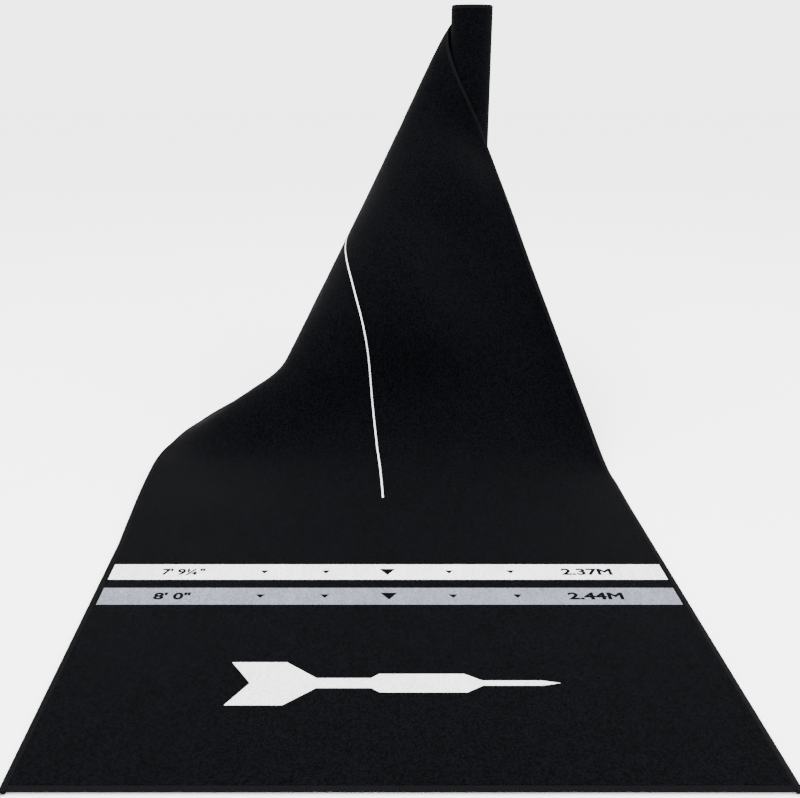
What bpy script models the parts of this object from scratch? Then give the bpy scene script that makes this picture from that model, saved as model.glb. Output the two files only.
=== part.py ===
"""Dart throw mat: a tufted carpet runner on a rubber back, its far end wound into an upright roll.

The near part lies flat on the floor. Past the lift line the sheet rises, turns over a pleat at
its left and runs round the roll, which stands on the mat's left edge. All sizes are in metres.
"s" is measured along the mat from its near end, "t" across it from its middle.
"""
import math

import bmesh
import bpy
import numpy as np

# ---- driving dimensions ---------------------------------------------------------------
MAT_WIDTH = 0.800            # across, over the overlocked edges
MAT_LENGTH = 2.858           # along, unrolled, over the overlocked edges
RUBBER_THICK = 0.0018
CLOTH_THICK = 0.0004
PILE_THICK = 0.0022
TOUCH_GAP = 0.0003           # left between pieces that touch
BINDING_WIDTH = 0.008        # overlocked edge, measured across the edge
BINDING_PROUD = 0.0002       # how far the edge yarn stands above the pile
WIND_CLEARANCE = 0.0008      # air between one turn of the roll and the next
ROLL_SLACK = 0.0002          # extra air under the free turn
CORE_RADIUS = 0.018          # middle of the mat's thickness at the innermost turn

BAND_DEPTH = 0.046           # printed throw bands, measured along the mat
BAND_INSET = 0.0115          # band ends, in from the mat's edges
THROW_FAR = 2.44             # grey band's far edge, from the board end
THROW_NEAR = 2.37            # white band's far edge, from the board end
MARK_SPACING = 0.0865
MARK_LARGE = (0.022, 0.018)  # width across, depth along
MARK_SMALL = (0.0115, 0.009)
LINE_WIDTH = 0.003           # centre line
LINE_PAST_BAND = 0.242       # where it starts, past the white band's far edge
EMBLEM_BEFORE_BAND = 0.300   # dart emblem's middle, before the white band's far edge
EMBLEM_LENGTH = 0.385        # dart emblem, across the mat
EMBLEM_HEIGHT = 0.088        # dart emblem, along the mat

# ---- the standing part's lay -----------------------------------------------------------
# Places along the lay are those of a mat of this width, with its white band's far edge here.
LAY_WIDTH = 0.800
LAY_BAND = 0.488
S_LIFT = 0.52                # flat up to here
S_WIND = 2.045               # wound on the roll from here
WIND_ANGLE = math.radians(45)   # where that is, anticlockwise from the roll's right side
STAND_FROM, STAND_BY = 1.45, 1.85   # between these the left edge comes up onto its side
ROLL_AXIS = (0.20, 1.50)
# Control points: (s, then x, y, z at t = -1/2, -1/4, 0, 1/4 and 1/2 of the width).
# z is the height of the middle of the mat's thickness above that of the flat part.
CONTROL_ROWS = (
    (0.70, (-.400, .700, .006), (-.200, .700, .002), (.000, .700, .000), (.200, .700, .000), (.400, .700, .000)),
    (0.87, (-.400, .865, .025), (-.200, .868, .012), (.000, .868, .001), (.200, .869, .001), (.400, .868, .004)),
    (1.00, (-.365, .985, .008), (-.200, .990, .046), (-.004, .990, .022), (.192, .98, .033), (.38, .975, .073)),
    (1.13, (-.315, 1.10, .000), (-.185, 1.11, .112), (-.020, 1.09, .088), (.175, 1.075, .105), (.354, 1.072, .153)),
    (1.30, (-.250, 1.26, .000), (-.140, 1.24, .188), (-.055, 1.165, .233), (.135, 1.175, .243), (.32, 1.198, .26)),
    (1.50, (-.170, 1.44, .000), (-.115, 1.42, .198), (-.050, 1.32, .350), (.105, 1.315, .383), (.281, 1.345, .387)),
    (1.70, (-.05, 1.585, .000), (-.04, 1.575, .205), (-.003, 1.52, .398), (.05, 1.43, .500), (.232, 1.46, .528)),
    (1.80, (.04, 1.61, .000), (.04, 1.605, .20), (.05, 1.585, .400), (.075, 1.50, .560), (.19, 1.453, .613)),
    (1.90, (.13, 1.60, .000), (.13, 1.60, .20), (.13, 1.59, .400), (.12, 1.545, .598), (.157, 1.482, .708)),
    (1.96, (.18, 1.572, .000), (.18, 1.572, .20), (.18, 1.568, .400), (.165, 1.55, .600), (.156, 1.505, .756)),
)
# Planes x = a + b y + c z and z = a + b x + c y: the sheet stays right of the first, along its
# left flank, or below the second, along the pleat.
FLANK_PLANE = (-0.3215, 0.0717, 0.494)
PLEAT_PLANE = (0.5105, 0.680, -0.2458)
SPAN_ROWS = 38
SPAN_COLUMNS = 20
SETTLE_STEPS = 900

# Steps between the sheet's facets along the lay: finest where its edge twists and at the roll.
TWIST_FROM, TWIST_BY = 1.37, 1.57
NEAR_ROLL = 0.22
STEP_LOW, STEP_RISING, STEP_TWIST, STEP_HIGH, STEP_ROLL = 0.08, 0.04, 0.010, 0.03, 0.01
ROLL_FACETS = 18             # in a turn

# ---- derived sizes ---------------------------------------------------------------------
SCALE = MAT_WIDTH / LAY_WIDTH
MAT_THICK = RUBBER_THICK + CLOTH_THICK + PILE_THICK + 2 * TOUCH_GAP
MID_HEIGHT = MAT_THICK / 2
RUBBER_LEVELS = (-MAT_THICK / 2, -MAT_THICK / 2 + RUBBER_THICK)
CLOTH_LEVELS = (RUBBER_LEVELS[1] + TOUCH_GAP, RUBBER_LEVELS[1] + TOUCH_GAP + CLOTH_THICK)
PILE_LEVELS = (CLOTH_LEVELS[1] + TOUCH_GAP, MAT_THICK / 2)
WIND_PITCH = MAT_THICK + BINDING_PROUD + WIND_CLEARANCE
WIND_START = S_WIND * SCALE
S_WHITE = MAT_LENGTH - THROW_NEAR
S_GREY = MAT_LENGTH - THROW_FAR
LAY_SHIFT = S_WHITE - LAY_BAND * SCALE      # from a place along the lay to one along the mat
ROLL_LENGTH = MAT_LENGTH - LAY_SHIFT - WIND_START
ROLL_RADIUS = math.sqrt(CORE_RADIUS ** 2 + ROLL_LENGTH * WIND_PITCH / math.pi)
AXIS = np.array(ROLL_AXIS) * SCALE
HALF_FIELD = MAT_WIDTH / 2 - BINDING_WIDTH - TOUCH_GAP
LINE_START = S_WHITE + LINE_PAST_BAND
EMBLEM_S = S_WHITE - EMBLEM_BEFORE_BAND
ORIGIN_S = S_WHITE           # the part's origin lies on the white band's far edge


# ---- the sheet's middle surface --------------------------------------------------------
def cubic(knots, rows, at):
    """A smooth curve through rows at knots, read at each value of at."""
    knots, rows, at = np.asarray(knots, float), np.asarray(rows, float), np.asarray(at, float)
    tail = (1,) * (rows.ndim - 1)
    gap = np.diff(knots).reshape((-1,) + tail)
    slope = (rows[1:] - rows[:-1]) / gap
    share = gap[1:] / (gap[1:] + gap[:-1])
    tangent = np.concatenate([slope[:1], share * slope[:-1] + (1 - share) * slope[1:], slope[-1:]])
    cell = np.clip(np.searchsorted(knots, at) - 1, 0, len(knots) - 2)
    step = (knots[cell + 1] - knots[cell]).reshape((-1,) + tail)
    u = ((at - knots[cell]).reshape((-1,) + tail)) / step
    return ((2 * u ** 3 - 3 * u ** 2 + 1) * rows[cell] + (u ** 3 - 2 * u ** 2 + u) * step * tangent[cell]
            + (3 * u ** 2 - 2 * u ** 3) * rows[cell + 1] + (u ** 3 - u ** 2) * step * tangent[cell + 1])


def floor_level(s):
    """Least height of the middle surface: the sheet lies flat at first and ends up on its edge."""
    stood = np.clip((np.asarray(s) / SCALE - STAND_FROM) / (STAND_BY - STAND_FROM), 0, 1)
    return MID_HEIGHT * (1 - stood)


def turns_at(s):
    """Turns wound between the start of the roll and s, on a spiral of constant pitch."""
    wound = np.asarray(s, float) - WIND_START
    return (ROLL_RADIUS - np.sqrt(ROLL_RADIUS ** 2 - wound * WIND_PITCH / math.pi)) / WIND_PITCH


def rolled(s, t):
    """The wound sheet, going clockwise round the roll as seen from above."""
    turns = turns_at(s)
    radius = ROLL_RADIUS - WIND_PITCH * turns
    angle = WIND_ANGLE - 2 * math.pi * turns
    x = AXIS[0] + radius * np.cos(angle)
    y = AXIS[1] + radius * np.sin(angle)
    return np.stack([x, y, t + MAT_WIDTH / 2], axis=-1)


def clear_of_roll(points, spare=0.0):
    """Pushes points out of the roll, each turn lying on the one inside it."""
    out = points[..., :2] - AXIS
    distance = np.linalg.norm(out, axis=-1) + 1e-9
    start = WIND_ANGLE - 0.01    # a little past the contact, so that rounding there does no harm
    turn = ((np.arctan2(out[..., 1], out[..., 0]) - start) / (2 * math.pi)) % 1.0
    least = ROLL_RADIUS + spare + WIND_PITCH * np.minimum(turn, 0.9)
    grow = np.maximum(least / distance, 1.0)[..., None]
    points[..., :2] = AXIS + out * grow


def keep_inside_planes(points, rate):
    """Eases points that lie outside both the flank plane and the pleat plane back to the nearer."""
    x, y, z = points[..., 0], points[..., 1], points[..., 2]
    a, b, c = FLANK_PLANE
    flank = (a * SCALE + b * y + c * z - x) / math.hypot(1, b, c)
    d, e, f = PLEAT_PLANE
    pleat = (z - (d * SCALE + e * x + f * y)) / math.hypot(1, e, f)
    outside = (flank > 0) & (pleat > 0) & (y > 0.8 * SCALE)
    move = rate * np.where(outside & (flank < pleat), flank, 0)[..., None]
    points += move * np.array([1, -b, -c]) / math.hypot(1, b, c)
    move = rate * np.where(outside & (flank >= pleat), pleat, 0)[..., None]
    points += move * np.array([e, f, -1]) / math.hypot(1, e, f)


def settled_span():
    """The span between the floor and the roll, laid out by the control points and then settled,
    so that it keeps its length and width nearly everywhere and bends evenly."""
    step_s = (S_WIND - S_LIFT) * SCALE / SPAN_ROWS
    step_t = MAT_WIDTH / SPAN_COLUMNS
    s = S_LIFT * SCALE + step_s * np.arange(SPAN_ROWS + 3)
    t = -MAT_WIDTH / 2 + step_t * np.arange(SPAN_COLUMNS + 1)
    flat_row = [(q * MAT_WIDTH, S_LIFT * SCALE, 0) for q in (-.5, -.25, 0, .25, .5)]
    end_row = rolled(np.full(5, WIND_START), MAT_WIDTH * np.array([-.5, -.25, 0, .25, .5]))
    rows = [flat_row] + [[np.array(p) * SCALE for p in row[1:]] for row in CONTROL_ROWS]
    rows.append(end_row)
    knots = [S_LIFT * SCALE] + [row[0] * SCALE for row in CONTROL_ROWS] + [WIND_START]
    along = cubic(knots, rows, s)
    points = cubic(MAT_WIDTH * np.array([-.5, -.25, 0, .25, .5]), along.transpose(1, 0, 2), t)
    points = points.transpose(1, 0, 2)
    lowest = floor_level(s)[:, None]
    points[:-3, :, 2] += lowest[:-3]
    free = np.ones(points.shape[:2])
    for i in (0, 1):
        points[i] = np.stack([t, np.full_like(t, s[i]), np.full_like(t, MID_HEIGHT)], axis=-1)
        free[i] = 0
    for i in (-3, -2, -1):
        points[i] = rolled(np.full_like(t, s[i]), t)
        free[i] = 0
    pins = [(int(round((row[0] * SCALE - s[0]) / step_s)), j * SPAN_COLUMNS // 4, 0.03)
            for row in CONTROL_ROWS for j in range(4)]
    pins += [(i, SPAN_COLUMNS, 0.5) for i in range(2, SPAN_ROWS)]
    pin_i, pin_j = np.array([p[0] for p in pins]), np.array([p[1] for p in pins])
    pin_rate = np.array([p[2] for p in pins])[:, None]
    pin_place = points[pin_i, pin_j].copy()
    links = [(1, 0, 1.0, False), (0, 1, 1.0, False), (1, 1, 1.0, False), (1, -1, 1.0, False),
             (2, 0, 0.8, True), (0, 2, 0.8, True), (4, 0, 0.5, True), (0, 4, 0.5, True)]
    for _ in range(SETTLE_STEPS):
        shift, weight = np.zeros_like(points), np.full(free.shape, 1e-9)
        for di, dj, stiff, push_only in links:
            a, b = link_slices(di, dj)
            gap = points[b] - points[a]
            length = np.linalg.norm(gap, axis=-1) + 1e-12
            error = length - math.hypot(di * step_s, dj * step_t)
            if push_only:
                error = np.minimum(error, 0)
            both = np.maximum(free[a] + free[b], 1)
            pull = (stiff * error / length / both)[..., None] * gap
            shift[a] += pull * free[a][..., None]
            shift[b] -= pull * free[b][..., None]
            weight[a] += 1 if not push_only else 0.4
            weight[b] += 1 if not push_only else 0.4
        points += 1.5 * shift / weight[..., None] * free[..., None]
        points[pin_i, pin_j] += pin_rate * (pin_place - points[pin_i, pin_j])
        points += 0.25 * fairing(points) * free[..., None]
        held = points[free == 0].copy()
        keep_inside_planes(points, 0.25)
        points[..., 2] = np.maximum(points[..., 2], lowest)
        clear_of_roll(points)
        points[free == 0] = held
    return s, t, points


def link_slices(di, dj):
    """The grid's points, and those di rows and dj columns on, as two matching slices."""
    def pair(d):
        if d < 0:
            return slice(-d, None), slice(0, d)
        return slice(0, -d if d else None), slice(d, None)
    (i0, i1), (j0, j1) = pair(di), pair(dj)
    return (i0, j0), (i1, j1)


def fairing(points):
    """How far each point lies off its neighbours' bend, which smooths out small waves."""
    bend = np.zeros_like(points)
    bend[1:-1, 1:-1] = (points[:-2, 1:-1] + points[2:, 1:-1] + points[1:-1, :-2] + points[1:-1, 2:]) / 4
    bend[1:-1, 1:-1] -= points[1:-1, 1:-1]
    for edge in (0, -1):
        bend[1:-1, edge] = (points[:-2, edge] + points[2:, edge]) / 2 - points[1:-1, edge]
    even = bend.copy()
    even[1:-1, 1:-1] -= (bend[:-2, 1:-1] + bend[2:, 1:-1] + bend[1:-1, :-2] + bend[1:-1, 2:]) / 4
    return even


SPAN_S, SPAN_T, SPAN_POINTS = settled_span()


def middle(s, t):
    """Points of the mat's middle surface on the grid s by t, both in the lay's own places."""
    s, t = np.asarray(s, float), np.asarray(t, float)
    out = np.zeros((len(s), len(t), 3))
    flat = s <= SPAN_S[1]
    wound = s > WIND_START
    grid_s, grid_t = np.meshgrid(s, t, indexing="ij")
    out[flat] = np.stack([grid_t, grid_s, np.full_like(grid_s, MID_HEIGHT)], axis=-1)[flat]
    if wound.any():
        out[wound] = rolled(grid_s[wound], grid_t[wound])
    span = ~flat & ~wound
    if span.any():
        along = cubic(SPAN_S, SPAN_POINTS, s[span])
        block = cubic(SPAN_T, along.transpose(1, 0, 2), t).transpose(1, 0, 2)
        clear_of_roll(block, ROLL_SLACK)
        out[span] = block
    return out


def surface(s, t):
    """Middle points and the pile-side normals on the grid s by t, in the part's own frame."""
    s, t = np.asarray(s, float) - LAY_SHIFT, np.asarray(t, float)
    reach = 0.002
    here = middle(s, t)
    along = middle(s + reach, t) - middle(s - reach, t)
    across = middle(s, t + reach) - middle(s, t - reach)
    normal = np.cross(across, along)
    wound = s >= WIND_START - 1e-6
    normal[wound] = here[wound] - [*AXIS, 0]
    normal[wound, :, 2] = 0
    normal /= np.linalg.norm(normal, axis=-1)[..., None]
    here[..., 1] -= ORIGIN_S - LAY_SHIFT
    return here, normal


# ---- solids ----------------------------------------------------------------------------
def material(name, colour, roughness, metallic=0.0):
    mat = bpy.data.materials.new(name)
    mat.use_nodes = True
    shader = mat.node_tree.nodes["Principled BSDF"]
    shader.inputs["Base Color"].default_value = (*colour, 1.0)
    shader.inputs["Roughness"].default_value = roughness
    shader.inputs["Metallic"].default_value = metallic
    return mat


def new_object(name, points, faces, mat):
    mesh = bpy.data.meshes.new(name)
    mesh.from_pydata([tuple(float(v) for v in p) for p in points], [], faces)
    mesh.validate()
    mesh.materials.append(mat)
    obj = bpy.data.objects.new(name, mesh)
    bpy.context.collection.objects.link(obj)
    return obj


def sheet_solid(name, s, t, levels, mat, windows=()):
    """A layer of the mat over the grid s by t, less the cells that fall in a window. Every cell
    is halved the same way, so that neighbouring layers keep their gap where the sheet twists."""
    here, normal = surface(s, t)
    rows, columns = len(s), len(t)
    low = (here + levels[0] * normal).reshape(-1, 3)
    high = (here + levels[1] * normal).reshape(-1, 3)
    points = np.concatenate([low, high])
    above = rows * columns

    def solid(i, j):
        if not (0 <= i < rows - 1 and 0 <= j < columns - 1):
            return False
        mid_s, mid_t = (s[i] + s[i + 1]) / 2, (t[j] + t[j + 1]) / 2
        return not any(s0 < mid_s < s1 and t0 < mid_t < t1 for s0, s1, t0, t1 in windows)

    faces = []
    for i in range(rows - 1):
        for j in range(columns - 1):
            if not solid(i, j):
                continue
            a, b = i * columns + j, i * columns + j + 1
            d, c = a + columns, b + columns
            faces += [(a + above, b + above, c + above), (a + above, c + above, d + above)]
            faces += [(a, c, b), (a, d, c)]
            for near, p, q in ((solid(i - 1, j), b, a), (solid(i + 1, j), d, c),
                               (solid(i, j - 1), a, d), (solid(i, j + 1), c, b)):
                if near:
                    continue
                if p < q:
                    faces += [(p + above, q + above, q), (p + above, q, p)]
                else:
                    faces += [(p + above, q + above, p), (q + above, q, p)]
    used = sorted({v for face in faces for v in face})
    number = {v: k for k, v in enumerate(used)}
    return new_object(name, points[used], [tuple(number[v] for v in face) for face in faces], mat)


def edge_bar(name, path_s, path_t, outward, mat):
    """An overlocked edge: a low bar with its outer corners eased, along s = path_s, t = path_t.
    outward is the direction away from the mat, in steps of (s, t)."""
    half = MAT_THICK / 2
    top = half + BINDING_PROUD
    ease = 0.0014
    section = ((0.0, -half), (BINDING_WIDTH - ease, -half), (BINDING_WIDTH, -half + ease),
               (BINDING_WIDTH, top - ease), (BINDING_WIDTH - ease, top), (0.0, top))
    rings = []
    for s, t in zip(path_s, path_t):
        ring = []
        for out, up in section:
            here, normal = surface([s + outward[0] * out], [t + outward[1] * out])
            ring.append(here[0, 0] + up * normal[0, 0])
        rings.append(ring)
    points = [p for ring in rings for p in ring]
    n = len(section)
    faces = [tuple(range(n)), tuple(range(len(points) - 1, len(points) - n - 1, -1))]
    for i in range(len(rings) - 1):
        for k in range(n):
            a, b = i * n + k, i * n + (k + 1) % n
            faces += [(a, a + n, b + n), (a, b + n, b)]
    obj = new_object(name, points, faces, mat)
    face_outwards(obj)
    return obj


def face_outwards(obj):
    mesh = bmesh.new()
    mesh.from_mesh(obj.data)
    bmesh.ops.recalc_face_normals(mesh, faces=mesh.faces)
    mesh.to_mesh(obj.data)
    mesh.free()


def flat_prism(name, outline, levels, mat, grow=0.0):
    """An upright prism on the flat part. outline is (t, s) points, anticlockwise from above."""
    corner = [np.array(p, float) for p in outline]
    if grow:
        corner = grown(corner, grow)
    low = [(t, s - ORIGIN_S, MID_HEIGHT + levels[0]) for t, s in corner]
    high = [(t, s - ORIGIN_S, MID_HEIGHT + levels[1]) for t, s in corner]
    n = len(corner)
    faces = [tuple(range(n - 1, -1, -1)), tuple(range(n, 2 * n))]
    faces += [(k, (k + 1) % n, (k + 1) % n + n, k + n) for k in range(n)]
    return new_object(name, low + high, faces, mat)


def grown(corner, grow):
    """An anticlockwise outline moved out by grow on every side."""
    out = []
    for k, here in enumerate(corner):
        before, after = here - corner[k - 1], corner[(k + 1) % len(corner)] - here
        n0 = np.array([before[1], -before[0]]) / np.linalg.norm(before)
        n1 = np.array([after[1], -after[0]]) / np.linalg.norm(after)
        out.append(here + grow * (n0 + n1) / (1 + n0 @ n1))
    return out


def cut(obj, cutter):
    cutter.hide_render = True
    cutter.display_type = "WIRE"
    bite = obj.modifiers.new(cutter.name, "BOOLEAN")
    bite.operation = "DIFFERENCE"
    bite.solver = "EXACT"
    bite.object = cutter


def mark_outline(t, s_far, size):
    """A triangle on its point, its flat side away from the near end."""
    width, depth = size
    return [(t, s_far - depth), (t + width / 2, s_far), (t - width / 2, s_far)]


def dart_outline():
    """A plain dart lying across the mat, point to the right: barrel, shaft and swept flights."""
    u, v = EMBLEM_LENGTH, EMBLEM_HEIGHT
    half = [(-0.500, 0.50), (-0.330, 0.50), (-0.235, 0.115), (-0.070, 0.115), (-0.045, 0.215),
            (0.215, 0.215), (0.265, 0.060), (0.445, 0.060), (0.500, 0.0)]
    lower = [(x * u, EMBLEM_S - y * v) for x, y in half]
    upper = [(x * u, EMBLEM_S + y * v) for x, y in reversed(half[:-1])]
    return lower + upper + [(-0.435 * u, EMBLEM_S)]


def spread(start, stop, step):
    """Evenly spaced values from start to stop, no further apart than step."""
    return list(np.linspace(start, stop, max(2, int(math.ceil((stop - start) / step - 1e-6)) + 1)))


def main():
    for obj in list(bpy.data.objects):
        bpy.data.objects.remove(obj, do_unlink=True)

    rubber = material("nitrile_rubber", (0.012, 0.012, 0.013), 0.75)
    weave = material("woven_tufting_cloth", (0.02, 0.02, 0.022), 0.9)
    black_pile = material("black_nylon_pile", (0.006, 0.007, 0.010), 0.95)
    white_pile = material("white_nylon_pile", (0.82, 0.83, 0.86), 0.95)
    grey_pile = material("grey_nylon_pile", (0.37, 0.37, 0.46), 0.95)
    yarn = material("black_polyester_yarn", (0.010, 0.010, 0.012), 0.55)

    # stations along the mat: the flat part, the span, and even steps of angle round the roll
    end_field = BINDING_WIDTH + TOUCH_GAP
    gap = TOUCH_GAP
    span = [LAY_SHIFT + S_LIFT * SCALE]
    for stop, step in ((LINE_START - gap, STEP_LOW), (LAY_SHIFT + TWIST_FROM * SCALE, STEP_RISING),
                       (LAY_SHIFT + TWIST_BY * SCALE, STEP_TWIST),
                       (LAY_SHIFT + WIND_START - NEAR_ROLL * SCALE, STEP_HIGH),
                       (LAY_SHIFT + WIND_START, STEP_ROLL)):
        span += spread(span[-1], stop, step * SCALE)[1:]
    turns = float(turns_at(MAT_LENGTH - LAY_SHIFT - end_field))
    steps = int(math.ceil(turns * ROLL_FACETS))
    angle_steps = np.linspace(0, turns, steps + 1)
    wound_at = ROLL_RADIUS ** 2 - (ROLL_RADIUS - WIND_PITCH * angle_steps) ** 2
    roll = LAY_SHIFT + WIND_START + wound_at * math.pi / WIND_PITCH
    roll[0] += TOUCH_GAP
    roll = list(roll)
    roll_to_end = roll[:-1] + [roll[-1], MAT_LENGTH]

    band_t = MAT_WIDTH / 2 - BAND_INSET
    line_t = LINE_WIDTH / 2
    right_half = [line_t + gap] + spread(0, HALF_FIELD, MAT_WIDTH / 10)[1:-1] + [band_t + gap, HALF_FIELD]
    columns = [-t for t in reversed(right_half)] + right_half

    # rubber and cloth, whole across the mat
    for name, levels, mat in (("rubber_backing", RUBBER_LEVELS, rubber),
                              ("tufting_cloth", CLOTH_LEVELS, weave)):
        sheet_solid(name, [end_field] + span, columns, levels, mat)
        sheet_solid(name + "_rolled", roll, [-HALF_FIELD, HALF_FIELD], levels, mat)

    # black pile, with room left for the bands and the centre line
    pile_s = [end_field, S_GREY - BAND_DEPTH - gap, S_GREY + gap, S_WHITE - BAND_DEPTH - gap,
              S_WHITE + gap] + span
    windows = [(S_GREY - BAND_DEPTH - gap, S_GREY + gap, -band_t - gap, band_t + gap),
               (S_WHITE - BAND_DEPTH - gap, S_WHITE + gap, -band_t - gap, band_t + gap),
               (LINE_START - gap, MAT_LENGTH, -line_t - gap, line_t + gap)]
    pile = sheet_solid("black_pile", pile_s, columns, PILE_LEVELS, black_pile, windows)
    cutter = flat_prism("emblem_cutter", dart_outline(), (-MAT_THICK, MAT_THICK), black_pile, gap)
    cut(pile, cutter)
    for side, edges in (("left", [-HALF_FIELD, -line_t - gap]), ("right", [line_t + gap, HALF_FIELD])):
        sheet_solid("black_pile_rolled_" + side, roll, edges, PILE_LEVELS, black_pile)
    line_s = [LINE_START] + [v for v in span if v > LINE_START]
    sheet_solid("centre_line", line_s, [-line_t, line_t], PILE_LEVELS, white_pile)
    sheet_solid("centre_line_rolled", roll, [-line_t, line_t], PILE_LEVELS, white_pile)
    flat_prism("dart_emblem", dart_outline(), PILE_LEVELS, white_pile)

    # throw bands, each with its five marks
    for band, s_far, mat in (("white", S_WHITE, white_pile), ("grey", S_GREY, grey_pile)):
        s_near = s_far - BAND_DEPTH
        outline = [(-band_t, s_near), (band_t, s_near), (band_t, s_far), (-band_t, s_far)]
        block = flat_prism(band + "_throw_band", outline, PILE_LEVELS, mat)
        for k in range(-2, 3):
            size = MARK_SMALL if k else MARK_LARGE
            top = s_far - (BAND_DEPTH - size[1]) / 2
            shape = mark_outline(k * MARK_SPACING, top, size)
            label = "%s_band_mark_%d" % (band, k + 3)
            flat_prism(label, shape, PILE_LEVELS, black_pile)
            cut(block, flat_prism(label + "_cutter", shape, (-MAT_THICK, MAT_THICK), black_pile, gap))

    # overlocked edges: two long ones, split where the roll starts, and two across the ends
    inner = MAT_WIDTH / 2 - BINDING_WIDTH
    for side, sign in (("left", -1), ("right", 1)):
        path = [0.0] + span
        edge_bar("edge_binding_" + side, path, [sign * inner] * len(path), (0, sign), yarn)
        edge_bar("edge_binding_%s_rolled" % side, roll_to_end, [sign * inner] * len(roll_to_end),
                 (0, sign), yarn)
    reach = inner - TOUCH_GAP
    edge_bar("edge_binding_near", [BINDING_WIDTH] * 2, [-reach, reach], (-1, 0), yarn)
    edge_bar("edge_binding_far", [MAT_LENGTH - BINDING_WIDTH] * 2, [-reach, reach], (1, 0), yarn)


main()
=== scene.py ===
"""The finished dart throw mat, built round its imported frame.

The mat's surface is worked out once, from the same sizes and control points as the frame's, and
each layer of the mat, its overlocked edges and its centre line are laid on it. "s" is measured
along the mat from its near end and "t" across it from its middle, in metres.
"""
import math

import bmesh
import bpy
import numpy as np
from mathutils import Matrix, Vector


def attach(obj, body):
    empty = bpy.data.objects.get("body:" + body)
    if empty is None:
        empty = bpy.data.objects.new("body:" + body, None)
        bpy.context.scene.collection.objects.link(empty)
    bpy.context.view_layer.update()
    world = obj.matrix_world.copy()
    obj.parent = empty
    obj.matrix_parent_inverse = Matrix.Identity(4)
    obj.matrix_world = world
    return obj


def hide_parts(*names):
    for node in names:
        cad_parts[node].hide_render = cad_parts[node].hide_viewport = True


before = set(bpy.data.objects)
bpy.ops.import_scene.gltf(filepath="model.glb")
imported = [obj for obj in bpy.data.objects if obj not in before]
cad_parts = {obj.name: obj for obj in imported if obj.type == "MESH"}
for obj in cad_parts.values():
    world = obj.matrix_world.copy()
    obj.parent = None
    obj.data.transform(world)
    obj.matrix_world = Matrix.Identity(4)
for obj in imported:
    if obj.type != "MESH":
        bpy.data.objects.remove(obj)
scene = bpy.context.scene
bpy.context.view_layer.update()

# ---- driving dimensions ---------------------------------------------------------------
MAT_WIDTH = 0.800            # across, over the overlocked edges
MAT_LENGTH = 2.858           # along, unrolled, over the overlocked edges
RUBBER_THICK = 0.0018
CLOTH_THICK = 0.0004
PILE_THICK = 0.0022
TOUCH_GAP = 0.0003           # left between pieces that touch
BINDING_WIDTH = 0.008        # overlocked edge, measured across the edge
BINDING_PROUD = 0.0002       # how far the edge yarn stands above the pile
WIND_CLEARANCE = 0.0008      # air between one turn of the roll and the next
ROLL_SLACK = 0.0002          # extra air under the free turn
CORE_RADIUS = 0.018          # middle of the mat's thickness at the innermost turn

BAND_DEPTH = 0.046           # throw bands, measured along the mat
BAND_INSET = 0.0115          # band ends, in from the mat's edges
THROW_FAR = 2.44             # grey band's far edge, from the board end
THROW_NEAR = 2.37            # white band's far edge, from the board end
LINE_WIDTH = 0.003           # centre line
LINE_PAST_BAND = 0.242       # where it starts, past the white band's far edge
YARN_RADIUS = 0.0006         # overlocking yarn
YARN_SPACING = 0.0033        # from one wrap to the next
WRAP_REACH = 0.0066          # how far a wrap comes in over the edge
WRAP_SLANT = 0.45            # radians
CORE_LAP = 0.00025           # how far an edge's core reaches into its gap to the field
ROLL_STEPS = 60              # facets in a turn of the roll
FLAT_STEP = 0.03             # longest step along the flat part's sheets
LIFT_STEP = 0.014            # along the span, up to the centre line's start
SPAN_STEP = 0.012            # along the rest of the span
NEAR_ROLL_STEP = 0.006       # along its last stretch
NEAR_ROLL = 0.22             # length of that stretch, in a mat of the lay's width
PILE_STEP = 0.0135           # across the pile
PLAIN_STEP = 0.02            # across the layers under it
ACROSS_STEP = 0.05           # along the near and far edges
SHARP_ANGLE = math.radians(50)
WELD = 0.00001               # points nearer than this are one
FIGURE_HEIGHT = 0.019
FIGURE_THICK = 0.0002
FIGURE_GAP = 0.0002          # between a figure and its band
FIGURE_WEIGHT = 0.03         # how much bolder than the font's own strokes, in font units
PILE_DARK, PILE_LIGHT = (0.0001, 0.0001, 0.0003), (0.0020, 0.0022, 0.0032)
FLOOR_REACH = 14.0
FLOOR_DROP = 0.0006          # the floor lies this far below the origin
WORLD_STRENGTH = 4.2
CAMERA_PLACE = (-0.045, -1.359, 0.694)
CAMERA_LENS = 47.4           # mm
CAMERA_SHIFT = 0.0556        # to the side, in sensor widths
CAMERA_DIP = math.radians(17.96)

# ---- the standing part's lay -----------------------------------------------------------
# Places along the lay are those of a mat of this width, with its white band's far edge here.
LAY_WIDTH = 0.800
LAY_BAND = 0.488
S_LIFT = 0.52                # flat up to here
S_WIND = 2.045               # wound on the roll from here
WIND_ANGLE = math.radians(45)   # where that is, anticlockwise from the roll's right side
STAND_FROM, STAND_BY = 1.45, 1.85   # between these the left edge comes up onto its side
ROLL_AXIS = (0.20, 1.50)
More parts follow.
